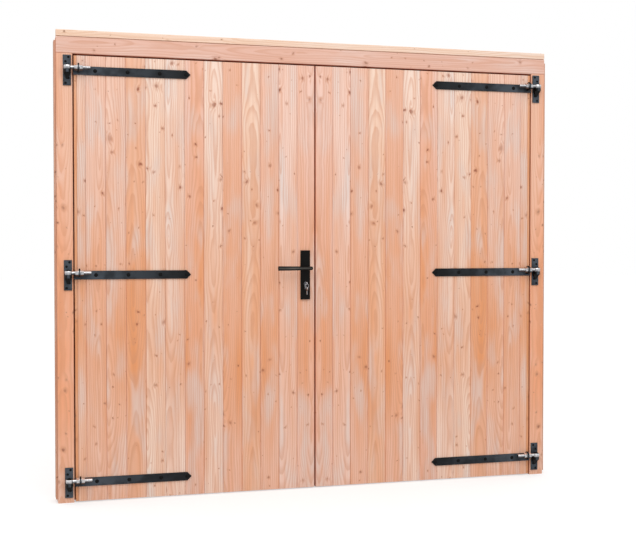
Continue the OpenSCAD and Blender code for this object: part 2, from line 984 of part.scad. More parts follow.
module inner_handle_plate() {
    outer_face = back_y + handle_plate_t;
    color(black_steel) difference() {
        translate([lock_x, back_y, lever_z]) mirror([0, 1, 0]) handle_plate();
        translate([lock_x, 0, lever_z])
            bar_y(neck_d + 2 * neck_play, back_y - overrun, handle_plate_t + 2 * overrun);
        cylinder_cutter(cylinder_play, outer_face + overrun, handle_plate_t + 2 * overrun);
        for (z = [lever_z + plate_bolt_rise, lever_z - plate_bolt_drop])
            translate([lock_x, outer_face, z]) mirror([0, 1, 0])
                countersunk_screw(
                    plate_bolt_d + 2 * plate_bolt_play, handle_plate_t + overrun,
                    plate_bolt_head_d + 2 * plate_bolt_play, plate_bolt_head_h + plate_bolt_play
                );
    }
}

module handle_plate_bolts() {
    color(black_steel) for (z = [lever_z + plate_bolt_rise, lever_z - plate_bolt_drop])
        translate([lock_x, back_y + handle_plate_t, z]) mirror([0, 1, 0])
            driven_screw(
                plate_bolt_d, handle_plate_t + leaf_t + plate_bolt_bite,
                plate_bolt_head_d, plate_bolt_head_h
            );
}

// A lever with its neck along -Y from the leaf's face, pointing to -X
module lever() {
    bar_start = -lever_reach - handle_plate_t;
    tip = -lever_l;
    heel = lever_heel - lever_heel_d / 2;
    bar_l = heel - tip - lever_tip_edge;
    difference() {
        union() {
            bar_y(neck_d, bar_start, -bar_start);
            translate([tip + lever_tip_edge, bar_start, 0]) rotate([0, 90, 0])
                cylinder(d1 = lever_d, d2 = lever_heel_d, h = bar_l);
            translate([tip, bar_start, 0]) rotate([0, 90, 0])
                cylinder(d1 = lever_d - 2 * lever_tip_edge, d2 = lever_d, h = lever_tip_edge);
            translate([heel, bar_start, 0]) sphere(d = lever_heel_d);
        }
        spindle_square(spindle_play, -handle_plate_t - spindle_in - spindle_play, leaf_t);
    }
}

module spindle_square(play, start, length) {
    side = spindle_w + 2 * play;
    translate([-side / 2, start, -side / 2]) cube([side, length, side]);
}

module outer_lever() {
    color(black_steel) translate([lock_x, front_y, lever_z]) lever();
}

module inner_lever() {
    color(black_steel) translate([lock_x, back_y, lever_z]) mirror([0, 1, 0]) lever();
}

module spindle() {
    reach = handle_plate_t + spindle_in;
    color(zinc) translate([lock_x, front_y - reach, lever_z])
        spindle_square(0, 0, leaf_t + 2 * reach);
}

module lock_follower() {
    color(brass) translate([lock_x, lock_y, lever_z]) difference() {
        union() {
            bar_y(hub_d, -case_t / 2, case_t);
            translate([-arm_w / 2, -arm_t / 2, 0]) cube([arm_w, arm_t, arm_r]);
        }
        spindle_square(spindle_play, -case_t, 2 * case_t);
    }
}

// Latch with a slanted nose, a tail over the follower and a tab behind its arm
module latch_bolt() {
    nose_x = backset + latch_reach;
    root_x = backset - latch_head_l;
    half = bolt_t / 2;
    tab_x = -arm_w / 2 - latch_tab_gap - latch_tab_t;
    color(brass) translate([lock_x, lock_y, lever_z]) {
        translate([0, 0, -latch_h / 2]) linear_extrude(height = latch_h) polygon([
            [root_x, -half], [nose_x, -half], [backset, half], [root_x, half]
        ]);
        translate([tab_x, half - latch_tail_t, latch_tail_z])
            cube([root_x - tab_x + latch_tail_t, latch_tail_t, latch_tail_h]);
        translate([tab_x, -arm_t / 2, latch_tail_z])
            cube([latch_tab_t, half + arm_t / 2, latch_tail_h]);
    }
}

module dead_bolt() {
    root_x = backset - dead_head_l;
    color(zinc) translate([lock_x, lock_y, dead_z]) {
        translate([root_x, -bolt_t / 2, -dead_h / 2]) cube([dead_head_l, bolt_t, dead_h]);
        translate([root_x - dead_tail_l, -dead_tail_t / 2, -dead_h / 2])
            cube([dead_tail_l + dead_tail_t, dead_tail_t, dead_tail_h]);
    }
}

// Plug of the cylinder with its cam and keyway
module cylinder_plug() {
    color(zinc) translate([lock_x, 0, cylinder_z]) difference() {
        union() {
            bar_y(plug_d, cylinder_y, cylinder_l);
            translate([-cam_w / 2, lock_y - cam_t / 2, 0]) intersection() {
                translate([0, 0, -cam_r]) cube([cam_w, cam_t, cam_r]);
                translate([cam_w / 2, 0, 0]) bar_y(2 * cam_r, -overrun, cam_t + 2 * overrun);
            }
        }
        translate([-key_t / 2 - keyway_play, cylinder_y - overrun, -key_blade_h / 2 - keyway_play])
            cube([key_t + 2 * keyway_play, key_blade_l + overrun + keyway_play, key_blade_h + 2 * keyway_play]);
    }
}

// Flat key with its bow at y = 0 and its blade along +Y
module key_blank(neck_l, blade_l, blade_h) {
    rotate([90, 0, 90]) translate([0, 0, -key_t / 2]) linear_extrude(height = key_t) difference() {
        union() {
            circle(d = key_bow_d);
            translate([0, -blade_h / 2]) square([key_bow_d / 2 + neck_l + blade_l, blade_h]);
        }
        translate([key_hole_edge - key_bow_d / 2, 0]) circle(d = key_hole_d);
    }
}

key_bow_y = cylinder_y - key_neck_l - key_bow_d / 2;
key_hole_y = key_bow_y - key_bow_d / 2 + key_hole_edge;

module key() {
    color(zinc) translate([lock_x, key_bow_y, cylinder_z]) key_blank(key_neck_l, key_blade_l, key_blade_h);
}

// Second key, which hangs from the first on a split ring
module spare_key() {
    slack = key_hole_d / 2 - key_ring_wire_d / 2;
    ring_z = cylinder_z - slack - key_ring_r + key_hang;
    spare_hole_z = ring_z - key_ring_r - slack + key_hang;
    spare_bow_z = spare_hole_z - key_bow_d / 2 + key_hole_edge;
    color(zinc) translate([lock_x, key_hole_y, 0]) {
        translate([0, 0, ring_z]) rotate([90, 0, 0])
            rotate_extrude() translate([key_ring_r, 0]) circle(d = key_ring_wire_d);
        translate([0, 0, spare_bow_z]) rotate([0, 0, spare_key_turn]) rotate([-90, 0, 0])
            key_blank(0, spare_blade_l, spare_blade_h);
    }
}

// Strike plate in the right leaf's meeting edge
module strike_recess() {
    right_x = -edge_x;
    translate([right_x - overrun, lock_y - strike_w / 2 - case_play / 2, strike_z - case_play / 2])
        cube([strike_t + overrun, strike_w + case_play, strike_h + case_play]);
    bolt_way(lever_z, latch_h, strike_play, right_x - overrun, pocket_d + overrun);
    bolt_way(dead_z, dead_h, strike_play, right_x - overrun, pocket_d + overrun);
}

module strike_plate() {
    right_x = -edge_x;
    color(zinc) difference() {
        translate([right_x, lock_y - strike_w / 2, strike_z]) cube([strike_t, strike_w, strike_h]);
        bolt_way(lever_z, latch_h, strike_play, right_x - overrun, strike_t + 2 * overrun);
        bolt_way(dead_z, dead_h, strike_play, right_x - overrun, strike_t + 2 * overrun);
    }
}

// Shoot bolts on the back of the right leaf, drawn with the rod pointing up from z = 0
module shoot_guide() {
    loop_back = shoot_axis + shoot_d / 2 + shoot_loop_wall;
    difference() {
        union() {
            translate([-shoot_plate_w / 2, 0, -shoot_plate_h]) cube([shoot_plate_w, shoot_plate_t, shoot_plate_h]);
            for (z = [-shoot_loop_in - shoot_loop_h, shoot_loop_in - shoot_plate_h])
                translate([-shoot_loop_w / 2, 0, z]) cube([shoot_loop_w, loop_back, shoot_loop_h]);
        }
        translate([0, shoot_axis, -shoot_plate_h - overrun])
            cylinder(d = shoot_d + 2 * shoot_play, h = shoot_plate_h + 2 * overrun);
    }
}

module shoot_rod() {
    low_z = -shoot_plate_h - shoot_tail;
    knob_z = -shoot_plate_h + shoot_plate_h * shoot_knob_share;
    translate([0, shoot_axis, low_z]) cylinder(d = shoot_d, h = shoot_set - low_z);
    translate([0, shoot_axis, knob_z]) rotate([-90, 0, 0]) cylinder(d = shoot_knob_d, h = shoot_knob_l);
}

module top_shoot_place() {
    translate([shoot_x, back_y, lip_z - shoot_clear - shoot_set]) children();
}

module bottom_shoot_place() {
    translate([shoot_x, back_y, leaf_z + shoot_clear + shoot_set]) mirror([0, 0, 1]) children();
}

module shoot_bolt_guides() {
    color(zinc) {
        top_shoot_place() shoot_guide();
        bottom_shoot_place() shoot_guide();
    }
}

module top_shoot_bolt() {
    color(zinc) top_shoot_place() shoot_rod();
}

module bottom_shoot_bolt() {
    color(zinc) bottom_shoot_place() shoot_rod();
}

module left_top_pintle() {
    color(black_steel) pintle(top_strap_z);
}

module left_middle_pintle() {
    color(black_steel) pintle(middle_strap_z);
}

module left_bottom_pintle() {
    color(black_steel) pintle(bottom_strap_z);
}

module right_top_pintle() {
    color(black_steel) on_right() pintle(top_strap_z);
}

module right_middle_pintle() {
    color(black_steel) on_right() pintle(middle_strap_z);
}

module right_bottom_pintle() {
    color(black_steel) on_right() pintle(bottom_strap_z);
}

left_jamb();
right_jamb();
head_rail();
head_lath();
side_battens();
left_top_pintle();
left_middle_pintle();
left_bottom_pintle();
right_top_pintle();
right_middle_pintle();
right_bottom_pintle();
hinge_pins();
frame_screws();
left_boards();
left_meeting_board();
left_hinge_stile();
left_lock_stile();
left_top_ledge();
left_middle_ledge();
left_bottom_ledge();
left_upper_brace();
left_lower_brace();
left_top_strap();
left_middle_strap();
left_bottom_strap();
left_eyebolts();
left_adjusting_nuts();
left_strap_bolts();
lock_case();
lock_cylinder();
outer_handle_plate();
inner_handle_plate();
handle_plate_bolts();
outer_lever();
inner_lever();
spindle();
lock_follower();
latch_bolt();
dead_bolt();
cylinder_plug();
key();
spare_key();
right_boards();
right_hinge_stile();
right_meeting_stile();
right_top_ledge();
right_middle_ledge();
right_bottom_ledge();
right_upper_brace();
right_lower_brace();
right_top_strap();
right_middle_strap();
right_bottom_strap();
right_eyebolts();
right_adjusting_nuts();
right_strap_bolts();
strike_plate();
shoot_bolt_guides();
top_shoot_bolt();
bottom_shoot_bolt();
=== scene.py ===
"""Looks of a timber double door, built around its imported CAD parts.

Lengths are in metres in the shared frame: X to the right seen from outside, Y inwards, Z up.
"""

import functools
import json
import math
from typing import Any, Callable, NamedTuple

import bmesh
import bpy
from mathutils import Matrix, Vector

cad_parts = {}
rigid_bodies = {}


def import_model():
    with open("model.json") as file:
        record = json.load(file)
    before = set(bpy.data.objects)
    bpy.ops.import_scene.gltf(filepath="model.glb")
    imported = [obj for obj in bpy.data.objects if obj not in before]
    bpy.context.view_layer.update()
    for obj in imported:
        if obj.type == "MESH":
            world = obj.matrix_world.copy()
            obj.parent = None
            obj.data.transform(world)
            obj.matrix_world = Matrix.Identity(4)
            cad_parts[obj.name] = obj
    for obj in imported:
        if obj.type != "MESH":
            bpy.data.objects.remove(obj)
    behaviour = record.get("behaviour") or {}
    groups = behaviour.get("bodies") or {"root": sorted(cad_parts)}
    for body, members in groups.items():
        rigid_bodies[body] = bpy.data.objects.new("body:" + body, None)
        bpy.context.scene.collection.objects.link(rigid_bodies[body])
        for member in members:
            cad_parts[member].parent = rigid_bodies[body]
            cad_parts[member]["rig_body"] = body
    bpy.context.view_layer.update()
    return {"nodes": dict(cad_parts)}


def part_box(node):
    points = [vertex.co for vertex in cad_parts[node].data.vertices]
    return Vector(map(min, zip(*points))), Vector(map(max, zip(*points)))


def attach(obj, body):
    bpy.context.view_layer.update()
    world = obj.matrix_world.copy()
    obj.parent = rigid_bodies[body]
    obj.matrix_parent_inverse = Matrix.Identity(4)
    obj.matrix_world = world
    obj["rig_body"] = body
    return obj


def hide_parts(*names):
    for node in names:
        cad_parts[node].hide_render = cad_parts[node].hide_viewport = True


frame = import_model()

MM = 0.001

# Kinds of nodes that are used often, and the numbers of their inputs
MATH = "ShaderNodeMath"
VECTOR_MATH = "ShaderNodeVectorMath"
VECTOR = "ShaderNodeCombineXYZ"
SPLIT_VECTOR = "ShaderNodeSeparateXYZ"
SPLIT_COLOUR = "ShaderNodeSeparateColor"
NOISE = "ShaderNodeTexNoise"
RANGE = "ShaderNodeMapRange"
VALUE, LOW, HIGH, LEAST, MOST = range(5)
SMOOTH = "SMOOTHSTEP"
MIX = "ShaderNodeMix"
MIX_SHARE, MIX_A, MIX_B = 0, 6, 7


def linear(hex_text):
    """The linear RGBA of an sRGB hex colour."""
    shares = [int(hex_text[i : i + 2], 16) / 255 for i in (1, 3, 5)]
    return tuple(s / 12.92 if s <= 0.04045 else ((s + 0.055) / 1.055) ** 2.4 for s in shares) + (1.0,)


def add(tree, kind, inputs=None, **settings):
    """Adds a node; an input is a value, or the node or socket that feeds it."""
    made = tree.nodes.new(kind)
    for key, value in settings.items():
        setattr(made, key, value)
    for key, value in (inputs or {}).items():
        if isinstance(value, bpy.types.Node):
            value = next(socket for socket in value.outputs if socket.enabled)
        if isinstance(value, bpy.types.NodeSocket):
            tree.links.new(value, made.inputs[key])
        else:
            made.inputs[key].default_value = value
    return made


def new_material(name):
    """An empty material and the function that adds nodes to it."""
    material = bpy.data.materials.new(name)
    material.use_nodes = True
    material.node_tree.nodes.clear()
    return material, functools.partial(add, material.node_tree)


# Layouts: a piece's coordinates across and along its grain, its board's number and its board's shade
LEAF_EDGE_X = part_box("right_hinge_stile")[1].x
RIPPED_W = 49 * MM
BOARD_COVER = 88 * MM

# Shares of warmth, rosiness and glow of each board, from the ripped one at the hinge to the meeting one
BOARD_SHARES = (
    (0.35, 0.3, 0.5), (0.55, 0.5, 0.5), (0.6, 0.45, 0.45), (0.85, 0.2, 0.75), (0.1, 0.05, 0.2),
    (0.1, 0.25, 0.3), (0.9, 0.7, 0.9), (0.05, 0.2, 0.35), (0.75, 0.5, 0.8), (0.3, 0.0, 0.65),
    (0.75, 0.5, 0.6), (0.1, 0.6, 0.25), (0.6, 0.7, 0.6),
)
PLAIN_SHADE = (0.5, 0.4, 0.5, 1.0)


def board_layout(put, place):
    """Boards of both leaves, counted from the hinge edge, so that the leaves mirror each other."""
    side = put(MATH, {0: place[0]}, operation="ABSOLUTE")
    from_ripped = put(MATH, {0: LEAF_EDGE_X - RIPPED_W, 1: side}, operation="SUBTRACT")
    boards = put(MATH, {0: from_ripped, 1: BOARD_COVER}, operation="DIVIDE")
    number = put(MATH, {0: boards}, operation="FLOOR")
    part = put(MATH, {0: put(MATH, {0: boards}, operation="FRACT"), 1: 0.5}, operation="SUBTRACT")
    across = put(MATH, {0: part, 1: BOARD_COVER}, operation="MULTIPLY")
    counted = put(RANGE, {VALUE: boards, LOW: -1.0, HIGH: len(BOARD_SHARES) - 1.0})
    shade = put("ShaderNodeValToRGB", {0: counted})
    shade.color_ramp.interpolation = "CONSTANT"
    shade.color_ramp.elements[0].color = (*BOARD_SHARES[0], 1.0)
    for index, shares in enumerate(BOARD_SHARES[1:], 1):
        stop = shade.color_ramp.elements.new(index / len(BOARD_SHARES))
        stop.color = (*shares, 1.0)
    return across, place[2], number, shade


def upright_layout(middle, number):
    """An upright piece on each side, mirrored about the middle of the door."""

    def layout(put, place):
        side = put(MATH, {0: place[0]}, operation="ABSOLUTE")
        across = put(MATH, {0: side, 1: middle}, operation="SUBTRACT")
        return across, place[2], number, PLAIN_SHADE

    return layout


def level_layout(middle, number):
    """A level piece that runs along X."""

    def layout(put, place):
        across = put(MATH, {0: place[2], 1: middle}, operation="SUBTRACT")
        return across, place[0], number, PLAIN_SHADE

    return layout


def sloping_layout(slope, number):
    """A brace that rises towards the middle of the door."""

    def layout(put, place):
        side = put(MATH, {0: place[0]}, operation="ABSOLUTE")
        spot = put(VECTOR, {0: side, 1: place[2]})
        across_way = (math.sin(slope), math.cos(slope), 0.0)
        along_way = (-math.cos(slope), math.sin(slope), 0.0)
        across = put(VECTOR_MATH, {0: spot, 1: across_way}, operation="DOT_PRODUCT").outputs["Value"]
        along = put(VECTOR_MATH, {0: spot, 1: along_way}, operation="DOT_PRODUCT").outputs["Value"]
        return across, along, number, PLAIN_SHADE

    return layout


class Grain(NamedTuple):
    """Where a point of the timber lies, across and along its grain, deep in it and above the floor.

    With it come the function that adds nodes and the seed of the board."""

    put: Callable
    across: Any
    along: Any
    deep: Any
    height: Any
    seed: Any


class Patches(NamedTuple):
    """Soft noise with patches of a size across and along the grain, mapped to a share or a length.

    The noise from low to high becomes the values from least to most."""

    width: float
    length: float
    start: float
    low: float = 0.0
    high: float = 1.0
    least: float = 0.0
    most: float = 1.0
    detail: float = 2.0
    blend: str = "LINEAR"


class Knots(NamedTuple):
    """A kind of knot: the cell that may hold one, its largest radius and the share of empty cells."""

    cell_w: float
    cell_h: float
    largest: float
    empty_share: float


class Tones(NamedTuple):
    """Colours of a kind of timber piece."""

    pale: str
    warm: str
    rosy: str
    glow: str
    faded: str
    late_wood: str
    knot: str
    knot_heart: str
    # Edges cut by the saw: a redder tone, partly painted shade for the gaps between pieces
    sawn_and_shade: str


# Step in the noise from one board to the next, and a patch too wide to change across a piece
SEED_STEP = 7.31
WHOLE_WIDTH = 1000.0

# Growth rings, drawn wider apart than the real 3 mm, so that they show in the render
RING_WIDTH = 9 * MM
HEART_SPREAD = 120 * MM
HEART_NEAREST = 9 * MM
HEART_FARTHEST = 70 * MM
HEART_DRIFT = Patches(WHOLE_WIDTH, 1110 * MM, 0.0, least=-22 * MM, most=22 * MM)
HEART_LEAN = Patches(WHOLE_WIDTH, 1250 * MM, 11.3, low=0.3, high=0.7, least=-45 * MM, most=45 * MM)
RING_RIPPLE = Patches(31.3 * MM, 143 * MM, 3.1, least=-5 * MM, most=5 * MM)
LATE_START_SHARE = 0.25
LATE_FULL_SHARE = 0.85
LATE_EDGE_SHARE = 0.9

# Knots: mostly pin knots, and a few of small branches, in whorls with clearer wood between
BRANCH_KNOTS = Knots(88 * MM, 300 * MM, 10.5 * MM, 0.52)
PIN_KNOTS = Knots(36 * MM, 104 * MM, 6.4 * MM, 0.25)
WHORLS = Patches(88 * MM, 210 * MM, 19.0, low=0.4, high=0.62, least=0.1, most=1.35, blend=SMOOTH)
NO_KNOT = 0.01 * MM
KNOT_OVAL_SHARES = (1.15, 0.8, 0.0)
KNOT_TILT = math.radians(130)
KNOT_EDGE_ACROSS = Patches(14.3 * MM, 22.2 * MM, 71.0, least=-7 * MM, most=7 * MM)
KNOT_EDGE_ALONG = Patches(16.7 * MM, 25 * MM, 83.0, least=-7 * MM, most=7 * MM)
KNOT_BEND_SHARE = 2.0
KNOT_FAINT_SHARE = 0.3
KNOT_STRONG_SHARE = 0.8
CORE_RIM_SHARE = 1.1
CORE_FULL_SHARE = 0.3
HALO_RIM_SHARE = 2.4
HALO_FULL_SHARE = 0.8

# Tone: bands in a board, patches that glow or have faded, and fine streaks
BANDS = Patches(41.7 * MM, 1000 * MM, 61.0, low=0.3, high=0.7, least=-0.3, most=0.3)
GLOWING = Patches(50 * MM, 588 * MM, 21.0, low=0.34, high=0.68, least=-0.22, most=0.24)
FADING = Patches(76.9 * MM, 312.5 * MM, 33.0, low=0.46, high=0.74, most=0.62, blend=SMOOTH)
STREAKS = Patches(11.8 * MM, 455 * MM, 47.0, low=0.38, high=0.76, most=0.32, detail=3.0, blend=SMOOTH)
PALE_HEIGHT = 2050 * MM
WARM_HEIGHT = 700 * MM
FOOT_HEIGHT = 60 * MM
WARM_HEIGHT_SHARE = 0.59
FOOT_HEIGHT_SHARE = 0.3
BOARD_GLOW_SHARE = 0.2
ROSE_SHARE = 0.8
LATE_LINE_SHARE = 0.42
HALO_SHARE = 0.34
# Edges cut by the saw: their own redder tone, darkened further as painted shade for the gaps
SAWN_AND_SHADE_SHARE = 0.7
FACE_ON = 0.5
EDGE_ON = 0.2

# Relief: fibres that the plane has raised, drawn wider than the real 0.5 mm, so that they show
FIBRES = Patches(1.43 * MM, 62.5 * MM, 5.0)
FIBRE_HEIGHT = 0.3 * MM


def patches(grain, kind):
    """Noise of one kind, with its own place for each board."""
    put = grain.put
    spot = put(VECTOR, {
        0: put(MATH, {0: grain.across, 1: kind.width}, operation="DIVIDE"),
        1: put(MATH, {0: grain.seed, 1: kind.start}, operation="ADD"),
        2: put(MATH, {0: grain.along, 1: kind.length}, operation="DIVIDE"),
    })
    noise = put(NOISE, {"Vector": spot, "Scale": 1.0, "Detail": kind.detail})
    ends = {LOW: kind.low, HIGH: kind.high, LEAST: kind.least, MOST: kind.most}
    return put(RANGE, {VALUE: noise, **ends}, interpolation_type=kind.blend)


def ring_radius(grain):
    """Distance from the heart of the log, which lies elsewhere for each board and winds along it."""
    put = grain.put
    own = put("ShaderNodeTexWhiteNoise", {"W": grain.seed}, noise_dimensions="1D")
    chance = put(SPLIT_COLOUR, {0: own.outputs["Color"]}).outputs
    heart = put(RANGE, {VALUE: chance[0], LEAST: -HEART_SPREAD / 2, MOST: HEART_SPREAD / 2})
    depth = put(RANGE, {VALUE: chance[1], LEAST: HEART_NEAREST, MOST: HEART_FARTHEST})
    beside = put(MATH, {0: grain.across, 1: heart}, operation="SUBTRACT")
    side = put(MATH, {0: beside, 1: patches(grain, HEART_DRIFT)}, operation="ADD")
    below = put(MATH, {0: depth, 1: patches(grain, HEART_LEAN)}, operation="ADD")
    deep = put(MATH, {0: below, 1: grain.deep}, operation="ADD")
    return put(VECTOR_MATH, {0: put(VECTOR, {0: side, 1: deep})}, operation="LENGTH").outputs["Value"]


def knots(grain, radius):
    """Tilted, uneven knots: the radius of the rings bent around them, and shares of core and halo."""
    put = grain.put
    across = put(MATH, {0: grain.across, 1: patches(grain, KNOT_EDGE_ACROSS)}, operation="ADD")
    along = put(MATH, {0: grain.along, 1: patches(grain, KNOT_EDGE_ALONG)}, operation="ADD")
    whorl = patches(grain, WHORLS)
    core = halo = 0.0
    for kind in (BRANCH_KNOTS, PIN_KNOTS):
        column = put(MATH, {0: across, 1: kind.cell_w}, operation="DIVIDE")
        spot = put(VECTOR, {
            0: put(MATH, {0: column, 1: grain.seed}, operation="ADD"),
            1: put(MATH, {0: along, 1: kind.cell_h}, operation="DIVIDE"),
        })
        cell = put("ShaderNodeTexVoronoi", {"Vector": spot, "Scale": 1.0}, voronoi_dimensions="2D")
        chance = put(SPLIT_COLOUR, {0: cell.outputs["Color"]}).outputs
        away = put(VECTOR_MATH, {0: spot, 1: cell.outputs["Position"]}, operation="SUBTRACT")
        flat = put(VECTOR_MATH, {0: away, 1: (kind.cell_w, kind.cell_h, 0.0)}, operation="MULTIPLY")
        tilt = put(RANGE, {VALUE: chance[1], LEAST: -KNOT_TILT / 2, MOST: KNOT_TILT / 2})
        turned = put("ShaderNodeVectorRotate", {"Vector": flat, "Angle": tilt}, rotation_type="Z_AXIS")
        oval = put(VECTOR_MATH, {0: turned, 1: KNOT_OVAL_SHARES}, operation="MULTIPLY")
        distance = put(VECTOR_MATH, {0: oval}, operation="LENGTH").outputs["Value"]
        most = put(RANGE, {VALUE: chance[0], LOW: kind.empty_share, LEAST: NO_KNOT, MOST: kind.largest})
        size = put(MATH, {0: most, 1: whorl}, operation="MULTIPLY")
        near = put(MATH, {0: distance, 1: size}, operation="DIVIDE")
        reach = put(MATH, {0: near, 1: KNOT_BEND_SHARE}, operation="DIVIDE")
        fall = put(MATH, {0: 0.0, 1: put(MATH, {0: reach, 1: 2.0}, operation="POWER")}, operation="SUBTRACT")
        bend = put(MATH, {0: put(MATH, {0: fall}, operation="EXPONENT"), 1: size}, operation="MULTIPLY")
        radius = put(MATH, {0: radius, 1: bend}, operation="ADD")
        strength = put(RANGE, {VALUE: chance[2], LEAST: KNOT_FAINT_SHARE, MOST: KNOT_STRONG_SHARE})
        core_ends = {LOW: CORE_RIM_SHARE, HIGH: CORE_FULL_SHARE}
        halo_ends = {LOW: HALO_RIM_SHARE, HIGH: HALO_FULL_SHARE}
        full = put(RANGE, {VALUE: near, **core_ends}, interpolation_type=SMOOTH)
        ring = put(RANGE, {VALUE: near, **halo_ends}, interpolation_type=SMOOTH)
        dark = put(MATH, {0: full, 1: strength}, operation="MULTIPLY")
        core = put(MATH, {0: core, 1: dark}, operation="MAXIMUM")
        halo = put(MATH, {0: halo, 1: ring}, operation="MAXIMUM")
    return radius, core, halo


def late_wood_lines(grain, radius):
    """Share of late wood: a slow darkening through each ring, then a sharp edge."""
    put = grain.put
    rippled = put(MATH, {0: radius, 1: patches(grain, RING_RIPPLE)}, operation="ADD")
    years = put(MATH, {0: rippled, 1: RING_WIDTH}, operation="DIVIDE")
    season = put(MATH, {0: years}, operation="FRACT")
    growth = {VALUE: season, LOW: LATE_START_SHARE, HIGH: LATE_FULL_SHARE}
    darkening = put(RANGE, growth, interpolation_type=SMOOTH)
    edge = put(RANGE, {VALUE: season, LOW: 1.0, HIGH: LATE_EDGE_SHARE}, interpolation_type=SMOOTH)
    return put(MATH, {0: darkening, 1: edge}, operation="MULTIPLY")


def glow_share(grain, own_glow):
    """Share of glow: paler at the top, warmest at knee height and less warm again at the foot, and boards
    and patches differ.
    """
    put = grain.put
    upper = {VALUE: grain.height, LOW: PALE_HEIGHT, HIGH: WARM_HEIGHT, MOST: WARM_HEIGHT_SHARE}
    lower = {VALUE: grain.height, LOW: WARM_HEIGHT, HIGH: FOOT_HEIGHT, MOST: FOOT_HEIGHT_SHARE}
    warming = put(RANGE, upper, interpolation_type=SMOOTH)
    cooling = put(RANGE, lower, interpolation_type=SMOOTH)
    by_height = put(MATH, {0: warming, 1: cooling}, operation="SUBTRACT")
    by_board = put(RANGE, {VALUE: own_glow, LEAST: -BOARD_GLOW_SHARE, MOST: BOARD_GLOW_SHARE})
    by_place = put(MATH, {0: patches(grain, GLOWING), 1: by_board}, operation="ADD")
    return put(MATH, {0: by_height, 1: by_place}, operation="ADD", use_clamp=True)


def fir(name, layout, tones):
    """Planed, untreated Douglas fir: pale early wood, warm late-wood lines and brown knots.

    The boards differ in tone; the edges cut by the saw are redder than the planed faces, and part of their
    deep red-brown is painted shade for the gaps between pieces."""
    material, put = new_material(name)
    surface = put("ShaderNodeTexCoord")
    place = put(SPLIT_VECTOR, {0: surface.outputs["Object"]}).outputs
    facing = put(SPLIT_VECTOR, {0: surface.outputs["Normal"]}).outputs
    across, along, number, shade = layout(put, place)
    seed = put(MATH, {0: number, 1: SEED_STEP}, operation="MULTIPLY")
    grain = Grain(put, across, along, place[1], place[2], seed)
    own_warmth, own_rose, own_glow = put(SPLIT_COLOUR, {0: shade}).outputs

    radius, core, halo = knots(grain, ring_radius(grain))
    late = late_wood_lines(grain, radius)
    face = put(MATH, {0: facing[1]}, operation="ABSOLUTE")
    layers = (
        (put(MATH, {0: own_warmth, 1: patches(grain, BANDS)}, operation="ADD", use_clamp=True), tones.warm),
        (put(MATH, {0: own_rose, 1: ROSE_SHARE}, operation="MULTIPLY"), tones.rosy),
        (glow_share(grain, own_glow), tones.glow),
        (patches(grain, FADING), tones.faded),
        (patches(grain, STREAKS), tones.late_wood),
        (put(MATH, {0: late, 1: LATE_LINE_SHARE}, operation="MULTIPLY"), tones.late_wood),
        (put(MATH, {0: halo, 1: HALO_SHARE}, operation="MULTIPLY"), tones.knot),
        (core, tones.knot_heart),
        # Edges cut by the saw: a redder tone, partly painted shade for the gaps between pieces
        (put(RANGE, {VALUE: face, LOW: FACE_ON, HIGH: EDGE_ON, MOST: SAWN_AND_SHADE_SHARE}), tones.sawn_and_shade),
    )
    colour = linear(tones.pale)
    for share, tone in layers:
        colour = put(MIX, {MIX_SHARE: share, MIX_A: colour, MIX_B: linear(tone)}, data_type="RGBA")

    fibres = put(MATH, {0: late, 1: patches(grain, FIBRES)}, operation="ADD")
    relief = put("ShaderNodeBump", {"Strength": 0.25, "Distance": FIBRE_HEIGHT, "Height": fibres})
    shader = put("ShaderNodeBsdfPrincipled", {
        "Base Color": colour, "Roughness": 0.68, "Specular IOR Level": 0.3, "Normal": relief,
    })
    put("ShaderNodeOutputMaterial", {"Surface": shader})
    return material


# Metals: grain of the coat and of the plating, dust and painted sheen on the front and back faces of the
# coat, painted shade on the undersides of the plating, and how far the roughness varies
PEEL_SIZE = 1.5 * MM
PEEL_HEIGHT = 0.05 * MM
DUST_PATCH = 60 * MM
DUST_LOW = 0.3
DUST_HIGH = 0.65
DUST_LEAST_SHARE = 0.35
DUST_AND_SHEEN_FACE_START = 0.85
DUST_AND_SHEEN_FACE_FULL = 0.99
CLOUD_SIZE = 8 * MM
CLOUD_TILT = 0.35
SHEEN_SPREAD = 0.06
UPPER_SIDE = 0.55

# Distances from the middle of the door between which the dust and painted sheen on a coat's front faces grow
ALL_OVER = (-1.0, 0.0)
TIP_TO_HINGE = (560 * MM, 1060 * MM)


